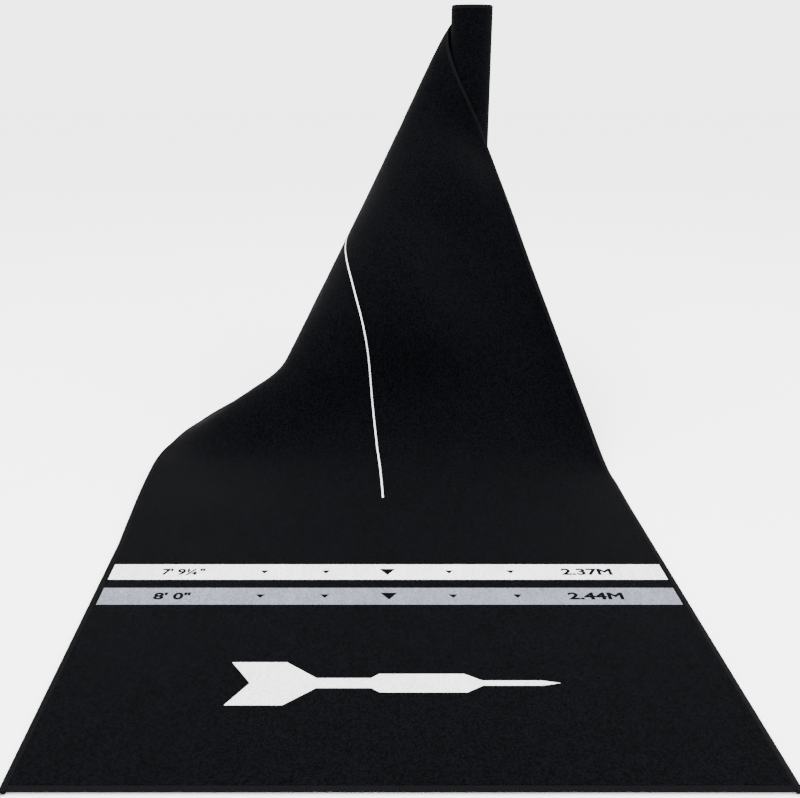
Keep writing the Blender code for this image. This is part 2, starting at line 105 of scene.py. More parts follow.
# Control points: (s, then x, y, z at t = -1/2, -1/4, 0, 1/4 and 1/2 of the width).
# z is the height of the middle of the mat's thickness above that of the flat part.
CONTROL_ROWS = (
    (0.70, (-.400, .700, .006), (-.200, .700, .002), (.000, .700, .000),
     (.200, .700, .000), (.400, .700, .000)),
    (0.87, (-.400, .865, .025), (-.200, .868, .012), (.000, .868, .001),
     (.200, .869, .001), (.400, .868, .004)),
    (1.00, (-.365, .985, .008), (-.200, .990, .046), (-.004, .990, .022),
     (.192, .98, .033), (.38, .975, .073)),
    (1.13, (-.315, 1.10, .000), (-.185, 1.11, .112), (-.020, 1.09, .088),
     (.175, 1.075, .105), (.354, 1.072, .153)),
    (1.30, (-.250, 1.26, .000), (-.140, 1.24, .188), (-.055, 1.165, .233),
     (.135, 1.175, .243), (.32, 1.198, .26)),
    (1.50, (-.170, 1.44, .000), (-.115, 1.42, .198), (-.050, 1.32, .350),
     (.105, 1.315, .383), (.281, 1.345, .387)),
    (1.70, (-.05, 1.585, .000), (-.04, 1.575, .205), (-.003, 1.52, .398),
     (.05, 1.43, .500), (.232, 1.46, .528)),
    (1.80, (.04, 1.61, .000), (.04, 1.605, .20), (.05, 1.585, .400),
     (.075, 1.50, .560), (.19, 1.453, .613)),
    (1.90, (.13, 1.60, .000), (.13, 1.60, .20), (.13, 1.59, .400),
     (.12, 1.545, .598), (.157, 1.482, .708)),
    (1.96, (.18, 1.572, .000), (.18, 1.572, .20), (.18, 1.568, .400),
     (.165, 1.55, .600), (.156, 1.505, .756)),
)
# Planes x = a + b y + c z and z = a + b x + c y: the sheet stays right of the first, along its
# left flank, or below the second, along the pleat.
FLANK_PLANE = (-0.3215, 0.0717, 0.494)
PLEAT_PLANE = (0.5105, 0.680, -0.2458)
SPAN_ROWS = 38
SPAN_COLUMNS = 20
SETTLE_STEPS = 900

# ---- derived sizes ---------------------------------------------------------------------
SCALE = MAT_WIDTH / LAY_WIDTH
MAT_THICK = RUBBER_THICK + CLOTH_THICK + PILE_THICK + 2 * TOUCH_GAP
MID_HEIGHT = MAT_THICK / 2
WRAP_HEIGHT = (MAT_THICK + BINDING_PROUD) / 2 - YARN_RADIUS
RUBBER_LEVELS = (-MAT_THICK / 2, -MAT_THICK / 2 + RUBBER_THICK)
CLOTH_LEVELS = (RUBBER_LEVELS[1] + TOUCH_GAP, RUBBER_LEVELS[1] + TOUCH_GAP + CLOTH_THICK)
PILE_LEVELS = (CLOTH_LEVELS[1] + TOUCH_GAP, MAT_THICK / 2)
WIND_PITCH = MAT_THICK + BINDING_PROUD + WIND_CLEARANCE
WIND_START = S_WIND * SCALE
S_WHITE = MAT_LENGTH - THROW_NEAR
S_GREY = MAT_LENGTH - THROW_FAR
LAY_SHIFT = S_WHITE - LAY_BAND * SCALE      # from a place along the lay to one along the mat
ROLL_LENGTH = MAT_LENGTH - LAY_SHIFT - WIND_START
ROLL_RADIUS = math.sqrt(CORE_RADIUS ** 2 + ROLL_LENGTH * WIND_PITCH / math.pi)
AXIS = np.array(ROLL_AXIS) * SCALE
HALF_FIELD = MAT_WIDTH / 2 - BINDING_WIDTH - TOUCH_GAP
LINE_START = S_WHITE + LINE_PAST_BAND
ORIGIN_S = S_WHITE           # the part's origin lies on the white band's far edge
# name, figures, where across the mat, the band's far edge, width
FIGURES = (("figure_steel_feet", "7' 9\u00bc\"", -0.287, S_WHITE, 0.060),
           ("figure_steel_metres", "2.37M", 0.280, S_WHITE, 0.071),
           ("figure_soft_feet", "8' 0\"", -0.292, S_GREY, 0.049),
           ("figure_soft_metres", "2.44M", 0.278, S_GREY, 0.074))


# ---- the sheet's middle surface --------------------------------------------------------
def cubic(knots, rows, at):
    """A smooth curve through rows at knots, read at each value of at."""
    knots, rows, at = np.asarray(knots, float), np.asarray(rows, float), np.asarray(at, float)
    tail = (1,) * (rows.ndim - 1)
    gap = np.diff(knots).reshape((-1,) + tail)
    slope = (rows[1:] - rows[:-1]) / gap
    share = gap[1:] / (gap[1:] + gap[:-1])
    tangent = np.concatenate([slope[:1], share * slope[:-1] + (1 - share) * slope[1:], slope[-1:]])
    cell = np.clip(np.searchsorted(knots, at) - 1, 0, len(knots) - 2)
    step = (knots[cell + 1] - knots[cell]).reshape((-1,) + tail)
    u = ((at - knots[cell]).reshape((-1,) + tail)) / step
    return ((2 * u ** 3 - 3 * u ** 2 + 1) * rows[cell]
            + (u ** 3 - 2 * u ** 2 + u) * step * tangent[cell]
            + (3 * u ** 2 - 2 * u ** 3) * rows[cell + 1]
            + (u ** 3 - u ** 2) * step * tangent[cell + 1])


def floor_level(s):
    """Least height of the middle surface: the sheet lies flat at first and ends up on its edge."""
    stood = np.clip((np.asarray(s) / SCALE - STAND_FROM) / (STAND_BY - STAND_FROM), 0, 1)
    return MID_HEIGHT * (1 - stood)


def turns_at(s):
    """Turns wound between the start of the roll and s, on a spiral of constant pitch."""
    wound = np.asarray(s, float) - WIND_START
    return (ROLL_RADIUS - np.sqrt(ROLL_RADIUS ** 2 - wound * WIND_PITCH / math.pi)) / WIND_PITCH


def rolled(s, t):
    """The wound sheet, going clockwise round the roll as seen from above."""
    turns = turns_at(s)
    radius = ROLL_RADIUS - WIND_PITCH * turns
    angle = WIND_ANGLE - 2 * math.pi * turns
    x = AXIS[0] + radius * np.cos(angle)
    y = AXIS[1] + radius * np.sin(angle)
    return np.stack([x, y, t + MAT_WIDTH / 2], axis=-1)


def clear_of_roll(points, spare=0.0):
    """Pushes points out of the roll, each turn lying on the one inside it."""
    out = points[..., :2] - AXIS
    distance = np.linalg.norm(out, axis=-1) + 1e-9
    start = WIND_ANGLE - 0.01    # a little past the contact, so that rounding there does no harm
    turn = ((np.arctan2(out[..., 1], out[..., 0]) - start) / (2 * math.pi)) % 1.0
    least = ROLL_RADIUS + spare + WIND_PITCH * np.minimum(turn, 0.9)
    grow = np.maximum(least / distance, 1.0)[..., None]
    points[..., :2] = AXIS + out * grow


def keep_inside_planes(points, rate):
    """Eases points that lie outside both the flank plane and the pleat plane back to the nearer."""
    x, y, z = points[..., 0], points[..., 1], points[..., 2]
    a, b, c = FLANK_PLANE
    flank = (a * SCALE + b * y + c * z - x) / math.hypot(1, b, c)
    d, e, f = PLEAT_PLANE
    pleat = (z - (d * SCALE + e * x + f * y)) / math.hypot(1, e, f)
    outside = (flank > 0) & (pleat > 0) & (y > 0.8 * SCALE)
    move = rate * np.where(outside & (flank < pleat), flank, 0)[..., None]
    points += move * np.array([1, -b, -c]) / math.hypot(1, b, c)
    move = rate * np.where(outside & (flank >= pleat), pleat, 0)[..., None]
    points += move * np.array([e, f, -1]) / math.hypot(1, e, f)


def settled_span():
    """The span between the floor and the roll, laid out by the control points and then settled,
    so that it keeps its length and width nearly everywhere and bends evenly."""
    step_s = (S_WIND - S_LIFT) * SCALE / SPAN_ROWS
    step_t = MAT_WIDTH / SPAN_COLUMNS
    s = S_LIFT * SCALE + step_s * np.arange(SPAN_ROWS + 3)
    t = -MAT_WIDTH / 2 + step_t * np.arange(SPAN_COLUMNS + 1)
    flat_row = [(q * MAT_WIDTH, S_LIFT * SCALE, 0) for q in (-.5, -.25, 0, .25, .5)]
    end_row = rolled(np.full(5, WIND_START), MAT_WIDTH * np.array([-.5, -.25, 0, .25, .5]))
    rows = [flat_row] + [[np.array(p) * SCALE for p in row[1:]] for row in CONTROL_ROWS]
    rows.append(end_row)
    knots = [S_LIFT * SCALE] + [row[0] * SCALE for row in CONTROL_ROWS] + [WIND_START]
    along = cubic(knots, rows, s)
    points = cubic(MAT_WIDTH * np.array([-.5, -.25, 0, .25, .5]), along.transpose(1, 0, 2), t)
    points = points.transpose(1, 0, 2)
    lowest = floor_level(s)[:, None]
    points[:-3, :, 2] += lowest[:-3]
    free = np.ones(points.shape[:2])
    for i in (0, 1):
        points[i] = np.stack([t, np.full_like(t, s[i]), np.full_like(t, MID_HEIGHT)], axis=-1)
        free[i] = 0
    for i in (-3, -2, -1):
        points[i] = rolled(np.full_like(t, s[i]), t)
        free[i] = 0
    pins = [(int(round((row[0] * SCALE - s[0]) / step_s)), j * SPAN_COLUMNS // 4, 0.03)
            for row in CONTROL_ROWS for j in range(4)]
    pins += [(i, SPAN_COLUMNS, 0.5) for i in range(2, SPAN_ROWS)]
    pin_i, pin_j = np.array([p[0] for p in pins]), np.array([p[1] for p in pins])
    pin_rate = np.array([p[2] for p in pins])[:, None]
    pin_place = points[pin_i, pin_j].copy()
    links = [(1, 0, 1.0, False), (0, 1, 1.0, False), (1, 1, 1.0, False), (1, -1, 1.0, False),
             (2, 0, 0.8, True), (0, 2, 0.8, True), (4, 0, 0.5, True), (0, 4, 0.5, True)]
    for _ in range(SETTLE_STEPS):
        shift, weight = np.zeros_like(points), np.full(free.shape, 1e-9)
        for di, dj, stiff, push_only in links:
            a, b = link_slices(di, dj)
            gap = points[b] - points[a]
            length = np.linalg.norm(gap, axis=-1) + 1e-12
            error = length - math.hypot(di * step_s, dj * step_t)
            if push_only:
                error = np.minimum(error, 0)
            both = np.maximum(free[a] + free[b], 1)
            pull = (stiff * error / length / both)[..., None] * gap
            shift[a] += pull * free[a][..., None]
            shift[b] -= pull * free[b][..., None]
            weight[a] += 1 if not push_only else 0.4
            weight[b] += 1 if not push_only else 0.4
        points += 1.5 * shift / weight[..., None] * free[..., None]
        points[pin_i, pin_j] += pin_rate * (pin_place - points[pin_i, pin_j])
        points += 0.25 * fairing(points) * free[..., None]
        held = points[free == 0].copy()
        keep_inside_planes(points, 0.25)
        points[..., 2] = np.maximum(points[..., 2], lowest)
        clear_of_roll(points)
        points[free == 0] = held
    return s, t, points


def link_slices(di, dj):
    """The grid's points, and those di rows and dj columns on, as two matching slices."""
    def pair(d):
        if d < 0:
            return slice(-d, None), slice(0, d)
        return slice(0, -d if d else None), slice(d, None)
    (i0, i1), (j0, j1) = pair(di), pair(dj)
    return (i0, j0), (i1, j1)


def fairing(points):
    """How far each point lies off its neighbours' bend, which smooths out small waves."""
    bend = np.zeros_like(points)
    bend[1:-1, 1:-1] = (points[:-2, 1:-1] + points[2:, 1:-1]
                        + points[1:-1, :-2] + points[1:-1, 2:]) / 4
    bend[1:-1, 1:-1] -= points[1:-1, 1:-1]
    for edge in (0, -1):
        bend[1:-1, edge] = (points[:-2, edge] + points[2:, edge]) / 2 - points[1:-1, edge]
    even = bend.copy()
    even[1:-1, 1:-1] -= (bend[:-2, 1:-1] + bend[2:, 1:-1] + bend[1:-1, :-2] + bend[1:-1, 2:]) / 4
    return even


SPAN_S, SPAN_T, SPAN_POINTS = settled_span()


def middle(s, t):
    """Points of the mat's middle surface on the grid s by t, both in the lay's own places."""
    s, t = np.asarray(s, float), np.asarray(t, float)
    out = np.zeros((len(s), len(t), 3))
    flat = s <= SPAN_S[1]
    wound = s > WIND_START
    grid_s, grid_t = np.meshgrid(s, t, indexing="ij")
    out[flat] = np.stack([grid_t, grid_s, np.full_like(grid_s, MID_HEIGHT)], axis=-1)[flat]
    if wound.any():
        out[wound] = rolled(grid_s[wound], grid_t[wound])
    span = ~flat & ~wound
    if span.any():
        along = cubic(SPAN_S, SPAN_POINTS, s[span])
        block = cubic(SPAN_T, along.transpose(1, 0, 2), t).transpose(1, 0, 2)
        clear_of_roll(block, ROLL_SLACK)
        out[span] = block
    return out


def surface(s, t):
    """Middle points and the pile-side normals on the grid s by t, in the part's own frame."""
    s, t = np.asarray(s, float) - LAY_SHIFT, np.asarray(t, float)
    reach = 0.002
    here = middle(s, t)
    along = middle(s + reach, t) - middle(s - reach, t)
    across = middle(s, t + reach) - middle(s, t - reach)
    normal = np.cross(across, along)
    wound = s >= WIND_START - 1e-6
    normal[wound] = here[wound] - [*AXIS, 0]
    normal[wound, :, 2] = 0
    normal /= np.linalg.norm(normal, axis=-1)[..., None]
    here[..., 1] -= ORIGIN_S - LAY_SHIFT
    return here, normal


# ---- meshes ----------------------------------------------------------------------------
def new_piece(name, points, faces, uvs, finish):
    """A mesh object with its own UV map, in metres along and across the mat."""
    mesh = bpy.data.meshes.new(name)
    mesh.from_pydata(np.asarray(points, float).tolist(), [], faces)
    layer = mesh.uv_layers.new(name="metres")
    corners = np.zeros(len(mesh.loops), dtype=np.int32)
    mesh.loops.foreach_get("vertex_index", corners)
    layer.data.foreach_set("uv", np.asarray(uvs, np.float32)[corners].ravel())
    mesh.materials.append(finish)
    mesh.shade_smooth()
    mesh.set_sharp_from_angle(angle=SHARP_ANGLE)
    piece = bpy.data.objects.new(name, mesh)
    scene.collection.objects.link(piece)
    return piece


def layer_piece(name, s, t, levels, finish, windows=()):
    """One layer of the mat as a closed sheet over the grid s by t, less the windows' cells."""
    here, normal = surface(s, t)
    rows, columns = len(s), len(t)
    above = rows * columns
    points = np.concatenate([(here + levels[0] * normal).reshape(-1, 3),
                             (here + levels[1] * normal).reshape(-1, 3)])
    flat = np.stack(np.meshgrid(t, s, indexing="xy"), axis=-1).reshape(-1, 2)
    uvs = np.concatenate([flat, flat])
    mid_s, mid_t = (np.array(s[1:]) + s[:-1]) / 2, (np.array(t[1:]) + t[:-1]) / 2
    full = np.zeros((rows + 1, columns + 1), bool)
    full[1:-1, 1:-1] = True
    for s0, s1, t0, t1 in windows:
        inside = ((mid_s > s0) & (mid_s < s1))[:, None] & ((mid_t > t0) & (mid_t < t1))[None, :]
        full[1:-1, 1:-1] &= ~inside
    faces = []
    for i in range(rows - 1):
        for j in range(columns - 1):
            if not full[i + 1, j + 1]:
                continue
            a, b = i * columns + j, i * columns + j + 1
            d, c = a + columns, b + columns
            faces += [(a + above, b + above, c + above, d + above), (a, d, c, b)]
            for neighbour, p, q in ((full[i, j + 1], b, a), (full[i + 2, j + 1], d, c),
                                    (full[i + 1, j], a, d), (full[i + 1, j + 2], c, b)):
                if not neighbour:
                    faces.append((p + above, q + above, q, p))
    piece = new_piece(name, points, faces, uvs, finish)
    loose_points_removed(piece)
    return piece


def loose_points_removed(piece):
    """Deletes the grid's points inside the windows, which no face uses."""
    mesh = bmesh.new()
    mesh.from_mesh(piece.data)
    bmesh.ops.delete(mesh, geom=[v for v in mesh.verts if not v.link_faces], context="VERTS")
    mesh.to_mesh(piece.data)
    mesh.free()


def edge_section(steps=10):
    """The section of an overlocked edge's core: square against the field, rounded outside."""
    middle_up = BINDING_PROUD / 2
    width = BINDING_WIDTH - YARN_RADIUS
    section = [(-CORE_LAP, middle_up + WRAP_HEIGHT), (-CORE_LAP, middle_up - WRAP_HEIGHT)]
    for k in range(steps + 1):
        angle = -math.pi / 2 + math.pi * k / steps
        section.append((width * math.cos(angle), middle_up + WRAP_HEIGHT * math.sin(angle)))
    return section


def beside(path_s, path_t, outward, reach):
    """The surface and its normals along a straight border, moved out across it by reach."""
    if outward[0]:
        here, normal = surface([path_s[0] + outward[0] * reach], path_t)
        return here[0], normal[0]
    here, normal = surface(path_s, [path_t[0] + outward[1] * reach])
    return here[:, 0], normal[:, 0]


def edge_frame(path_s, path_t, outward):
    """Points on the field's border, and the directions out of the mat and up off its pile."""
    place, up = beside(path_s, path_t, outward, 0.0)
    beyond, _ = beside(path_s, path_t, outward, BINDING_WIDTH / 2)
    out = beyond - place
    out -= (out * up).sum(axis=1)[:, None] * up
    return place, up, out / np.linalg.norm(out, axis=1)[:, None]


def edge_piece(name, path_s, path_t, outward, finish):
    """The core of an overlocked edge, a bar along the border."""
    section = np.array(edge_section())
    lines = []
    for out, up in section:
        here, normal = beside(path_s, path_t, outward, out)
        lines.append(here + up * normal)
    points = np.array(lines).transpose(1, 0, 2).reshape(-1, 3)
    n = len(section)
    run = np.concatenate([[0], np.cumsum(np.hypot(np.diff(path_s), np.diff(path_t)))])
    around = np.concatenate([[0], np.cumsum(np.linalg.norm(np.diff(section, axis=0), axis=1))])
    uvs = [(a, r) for r in run for a in around]
    faces = [tuple(range(n)), tuple(range(len(points) - 1, len(points) - n - 1, -1))]
    for i in range(len(path_s) - 1):
        for k in range(n):
            a, b = i * n + k, i * n + (k + 1) % n
            faces.append((a, a + n, b + n, b))
    piece = new_piece(name, points, faces, uvs, finish)
    mesh = bmesh.new()
    mesh.from_mesh(piece.data)
    bmesh.ops.recalc_face_normals(mesh, faces=mesh.faces)
    mesh.to_mesh(piece.data)
    mesh.free()
    return piece


# ---- yarn wraps ------------------------------------------------------------------------
WRAP_SIZES = {"Spacing": YARN_SPACING, "Yarn Radius": YARN_RADIUS, "Wrap Width": WRAP_REACH,
              "Wrap Height": WRAP_HEIGHT, "Slant": WRAP_SLANT}


def wrap_tree(finish):
    """Geometry Nodes: a slanted loop of yarn at every step along an edge path."""
    tree = bpy.data.node_groups.new("overlock_wraps", "GeometryNodeTree")
    face = tree.interface
    face.new_socket("Path", in_out="INPUT", socket_type="NodeSocketGeometry")
    for label, value in WRAP_SIZES.items():
        socket = face.new_socket(label, in_out="INPUT", socket_type="NodeSocketFloat")
        socket.default_value = value
    face.new_socket("Seed", in_out="INPUT", socket_type="NodeSocketInt")
    face.new_socket("Wraps", in_out="OUTPUT", socket_type="NodeSocketGeometry")
    nodes, link = tree.nodes, tree.links.new
    given = nodes.new("NodeGroupInput")
    made = nodes.new("NodeGroupOutput")

    curve = nodes.new("GeometryNodeMeshToCurve")
    link(given.outputs["Path"], curve.inputs["Mesh"])
    even = nodes.new("GeometryNodeResampleCurve")
    even.mode = "LENGTH"
    link(curve.outputs["Curve"], even.inputs["Curve"])
    link(given.outputs["Spacing"], even.inputs["Length"])

    # one wrap: half an ellipse, from under the mat round its outer side to the pile
    arc = nodes.new("GeometryNodeCurveArc")
    arc.inputs["Resolution"].default_value = 9
    arc.inputs["Radius"].default_value = 1.0
    arc.inputs["Start Angle"].default_value = math.radians(-90)
    arc.inputs["Sweep Angle"].default_value = math.radians(180)
    size = nodes.new("ShaderNodeCombineXYZ")
    link(given.outputs["Wrap Width"], size.inputs["X"])
    link(given.outputs["Wrap Height"], size.inputs["Y"])
    link(given.outputs["Wrap Height"], size.inputs["Z"])
    shaped = nodes.new("GeometryNodeTransform")
    link(arc.outputs["Curve"], shaped.inputs["Geometry"])
    link(size.outputs["Vector"], shaped.inputs["Scale"])
    ring = nodes.new("GeometryNodeCurvePrimitiveCircle")
    ring.inputs["Resolution"].default_value = 5
    link(given.outputs["Yarn Radius"], ring.inputs["Radius"])
    yarn = nodes.new("GeometryNodeCurveToMesh")
    yarn.inputs["Fill Caps"].default_value = True
    link(shaped.outputs["Geometry"], yarn.inputs["Curve"])
    link(ring.outputs["Curve"], yarn.inputs["Profile Curve"])
    lean = nodes.new("ShaderNodeCombineXYZ")
    link(given.outputs["Slant"], lean.inputs["Y"])
    slanted = nodes.new("GeometryNodeTransform")
    link(yarn.outputs["Mesh"], slanted.inputs["Geometry"])
    link(lean.outputs["Vector"], slanted.inputs["Rotation"])

    # turned so that X points out of the mat, Y off the pile and Z along the edge
    up = nodes.new("GeometryNodeInputNamedAttribute")
    up.data_type = "FLOAT_VECTOR"
    up.inputs["Name"].default_value = "up"
    out = nodes.new("GeometryNodeInputNamedAttribute")
    out.data_type = "FLOAT_VECTOR"
    out.inputs["Name"].default_value = "out"
    turn = nodes.new("FunctionNodeAxesToRotation")
    turn.primary_axis = "X"
    turn.secondary_axis = "Y"
    link(out.outputs["Attribute"], turn.inputs["Primary Axis"])
    link(up.outputs["Attribute"], turn.inputs["Secondary Axis"])
    uneven = nodes.new("FunctionNodeRandomValue")
    uneven.data_type = "FLOAT"
    uneven.inputs[2].default_value = 0.90
    uneven.inputs[3].default_value = 1.0
    link(given.outputs["Seed"], uneven.inputs["Seed"])
    placed = nodes.new("GeometryNodeInstanceOnPoints")
    link(even.outputs["Curve"], placed.inputs["Points"])
    link(slanted.outputs["Geometry"], placed.inputs["Instance"])
    link(turn.outputs["Rotation"], placed.inputs["Rotation"])
    link(uneven.outputs[1], placed.inputs["Scale"])
    real = nodes.new("GeometryNodeRealizeInstances")
    link(placed.outputs["Instances"], real.inputs["Geometry"])
    painted = nodes.new("GeometryNodeSetMaterial")
    painted.inputs["Material"].default_value = finish
    link(real.outputs["Geometry"], painted.inputs["Geometry"])
    link(painted.outputs["Geometry"], made.inputs["Wraps"])
    return tree


def wraps_piece(name, tree, path_s, path_t, outward, seed):
    """The wraps of one edge, as a plain mesh."""
    place, up, out = edge_frame(path_s, path_t, outward)
    place = place + (BINDING_WIDTH - WRAP_REACH - YARN_RADIUS) * out + BINDING_PROUD / 2 * up
    mesh = bpy.data.meshes.new(name + "_path")
    mesh.from_pydata(place.tolist(), [(k, k + 1) for k in range(len(place) - 1)], [])
    for label, values in (("up", up), ("out", out)):
        held = mesh.attributes.new(label, "FLOAT_VECTOR", "POINT")
        held.data.foreach_set("vector", values.astype(np.float32).ravel())
    path = bpy.data.objects.new(name + "_path", mesh)
    scene.collection.objects.link(path)
    wraps = path.modifiers.new("wraps", "NODES")
    wraps.node_group = tree
    wanted = {**WRAP_SIZES, "Seed": seed}
    for socket in tree.interface.items_tree:
        if socket.in_out == "INPUT" and socket.name in wanted:
            wraps[socket.identifier] = wanted[socket.name]
    bpy.context.view_layer.update()
    seen = path.evaluated_get(bpy.context.evaluated_depsgraph_get())
    plain = bpy.data.meshes.new_from_object(seen)
    path.modifiers.remove(wraps)
    bpy.data.objects.remove(path)
    plain.name = name
    plain.shade_smooth()
    piece = bpy.data.objects.new(name, plain)
    scene.collection.objects.link(piece)
    return piece


# ---- figures ---------------------------------------------------------------------------
def figure_piece(name, words, middle_t, s_middle, width, finish):
    """Raised plain figures on a band, read from the mat's near end."""
    curve = bpy.data.curves.new(name, "FONT")
    curve.body = words
    curve.align_x = "CENTER"
    curve.align_y = "CENTER"
    curve.extrude = 0.5
    curve.bevel_depth = FIGURE_WEIGHT
    curve.bevel_resolution = 1
    text = bpy.data.objects.new(name + "_text", curve)
    scene.collection.objects.link(text)
    bpy.context.view_layer.update()
    seen = text.evaluated_get(bpy.context.evaluated_depsgraph_get())
    mesh = bpy.data.meshes.new_from_object(seen)
    bpy.data.objects.remove(text)
    co = np.zeros(len(mesh.vertices) * 3)
    mesh.vertices.foreach_get("co", co)
    co = co.reshape(-1, 3)
    low, high = co.min(0), co.max(0)
    co = (co - (low + high) / 2) / (high - low)
    co *= [width, FIGURE_HEIGHT, FIGURE_THICK]
    co += [middle_t, s_middle - ORIGIN_S, MAT_THICK + FIGURE_GAP + FIGURE_THICK / 2]
    mesh.vertices.foreach_set("co", co.ravel())
    mesh.materials.clear()
    mesh.materials.append(finish)
    mesh.name = name
    piece = bpy.data.objects.new(name, mesh)
    scene.collection.objects.link(piece)
    weld = bmesh.new()
    weld.from_mesh(mesh)
    bmesh.ops.remove_doubles(weld, verts=weld.verts, dist=WELD)
    bmesh.ops.recalc_face_normals(weld, faces=weld.faces)
    weld.to_mesh(mesh)
    weld.free()
    return piece


# ---- finishes --------------------------------------------------------------------------
class Finish:
    """A Principled material that is built up by small steps on one coordinate."""

    def __init__(self, name, roughness, coordinate="Object"):
        self.material = bpy.data.materials.new(name)
        self.material.use_nodes = True
        self.nodes = self.material.node_tree.nodes
        self.link = self.material.node_tree.links.new
        self.shader = self.nodes["Principled BSDF"]
        self.shader.inputs["Roughness"].default_value = roughness
        self.where = self.nodes.new("ShaderNodeTexCoord").outputs[coordinate]

    def noise(self, scale, detail=2.0, stretch=None):
        texture = self.nodes.new("ShaderNodeTexNoise")
        texture.inputs["Scale"].default_value = scale
        texture.inputs["Detail"].default_value = detail
        self.link(self.stretched(stretch), texture.inputs["Vector"])
        return texture.outputs["Fac"]

    def tufts(self, scale):
        texture = self.nodes.new("ShaderNodeTexVoronoi")
        texture.inputs["Scale"].default_value = scale
        self.link(self.where, texture.inputs["Vector"])
        return texture.outputs["Distance"], texture.outputs["Color"]

    def stretched(self, stretch):
        if stretch is None:
            return self.where
        mapping = self.nodes.new("ShaderNodeMapping")
        mapping.inputs["Scale"].default_value = stretch
        self.link(self.where, mapping.inputs["Vector"])
        return mapping.outputs["Vector"]

    def ramp(self, value, *stops):
        """Colours or greys at places along value."""
        ramp = self.nodes.new("ShaderNodeValToRGB")
        band = ramp.color_ramp
        while len(band.elements) < len(stops):
            band.elements.new(0.5)
        for element, (place, colour) in zip(band.elements, stops):
            element.position = place
            element.color = (*colour, 1.0)
        self.link(value, ramp.inputs["Fac"])
        return ramp.outputs["Color"]

    def multiply(self, one, other, share=1.0):
        mix = self.nodes.new("ShaderNodeMix")
        mix.data_type = "RGBA"
        mix.blend_type = "MULTIPLY"
        mix.inputs[0].default_value = share
        self.link(one, mix.inputs[6])
        self.link(other, mix.inputs[7])
        return mix.outputs[2]

    def colour(self, value):
        self.link(value, self.shader.inputs["Base Color"])

    def bump(self, value, strength, distance, under=None):
        bump = self.nodes.new("ShaderNodeBump")
        bump.inputs["Strength"].default_value = strength
        bump.inputs["Distance"].default_value = distance
        self.link(value, bump.inputs["Height"])
        if under is not None:
            self.link(under, bump.inputs["Normal"])
        self.link(bump.outputs["Normal"], self.shader.inputs["Normal"])
        return bump.outputs["Normal"]


def pile_finish(name, dark, light, coordinate="Object", sheen=0.0):
    """Short cut pile: a tuft every millimetre or so, in slightly uneven yarn, with painted shade
    between the tufts.
    """
    finish = Finish(name, 0.95, coordinate)
    distance, cell = finish.tufts(460.0)
    fleck = finish.ramp(cell, (0.15, dark), (0.85, light))
    cloud = finish.ramp(finish.noise(16.0, 4.0), (0.3, (0.84, 0.84, 0.84)), (0.7, (1.0, 1.0, 1.0)))
    streak = finish.ramp(finish.noise(60.0, 3.0, (3.0, 0.25, 1.0)), (0.3, (0.88, 0.88, 0.88)),
                         (0.7, (1.0, 1.0, 1.0)))
    # painted shade: the colour darkens from each tuft's middle out to the gaps between the tufts
    painted_tuft_gap_shade = finish.ramp(distance, (0.0, (1.0, 1.0, 1.0)), (0.75, (0.62, 0.62, 0.62)))
    finish.colour(finish.multiply(finish.multiply(finish.multiply(fleck, cloud), streak), painted_tuft_gap_shade))
    lay = finish.bump(finish.noise(260.0, 3.0), 0.30, 0.0008)
    finish.bump(distance, 0.75, -0.0007, lay)
    finish.shader.inputs["Sheen Weight"].default_value = sheen
    finish.shader.inputs["Sheen Roughness"].default_value = 0.5
    finish.shader.inputs["Sheen Tint"].default_value = (1.0, 1.0, 1.0, 1.0)
    finish.shader.inputs["Specular IOR Level"].default_value = 0.02
    return finish.material


def rubber_finish():
    """Nitrile rubber with the fine pebble of its press cloth and a bloom of dust."""
    finish = Finish("nitrile_rubber", 0.72, "UV")
    distance, _ = finish.tufts(420.0)
    bloom = finish.noise(9.0, 5.0)
    finish.colour(finish.ramp(bloom, (0.3, (0.006, 0.006, 0.0066)), (0.75, (0.014, 0.014, 0.0152))))
    weave = finish.bump(finish.noise(900.0, 2.0), 0.25, 0.0002)
    finish.bump(distance, 0.5, 0.0004, weave)
    finish.shader.inputs["Specular IOR Level"].default_value = 0.08
    return finish.material


def cloth_finish():
    """The cloth that the tufts are set in: a plain weave seen only at the mat's cut inner edges."""
    finish = Finish("tufting_cloth", 0.9, "UV")
    warp = finish.noise(500.0, 1.0, (1.0, 0.05, 1.0))
    finish.colour(finish.ramp(warp, (0.35, (0.012, 0.012, 0.014)), (0.65, (0.035, 0.035, 0.038))))
    finish.bump(finish.noise(500.0, 1.0, (0.05, 1.0, 1.0)), 0.4, 0.0002)
    return finish.material


def yarn_finish():
    """Black overlocking yarn, a little shinier than the pile, with the twist of its plies."""
    finish = Finish("overlock_yarn", 0.8)
    fibre = finish.noise(1400.0, 2.0)
    finish.colour(finish.ramp(fibre, (0.3, (0.0006, 0.0006, 0.0008)),
                              (0.75, (0.0028, 0.0030, 0.0036))))
    finish.bump(fibre, 0.5, 0.0003)
    finish.shader.inputs["Specular IOR Level"].default_value = 0.03
    return finish.material


def floor_finish():
    finish = Finish("pale_floor", 0.7)
    cloud = finish.noise(3.0, 3.0)
    finish.colour(finish.ramp(cloud, (0.3, (0.97, 0.97, 0.97)), (0.7, (0.98, 0.98, 0.98))))
    return finish.material


# ---- the mat ---------------------------------------------------------------------------
def spread(start, stop, step):
    """Evenly spaced values from start to stop, no further apart than step."""
    return list(np.linspace(start, stop, max(2, int(math.ceil((stop - start) / step - 1e-6)) + 1)))


def roll_stations():
    """Places along the mat at even steps of angle round the roll, up to its inner end."""
    turns = float(turns_at(MAT_LENGTH - LAY_SHIFT - BINDING_WIDTH - TOUCH_GAP))
    steps = np.linspace(0, turns, int(math.ceil(turns * ROLL_STEPS)) + 1)
    wound = ROLL_RADIUS ** 2 - (ROLL_RADIUS - WIND_PITCH * steps) ** 2
    return list(LAY_SHIFT + WIND_START + wound * math.pi / WIND_PITCH)


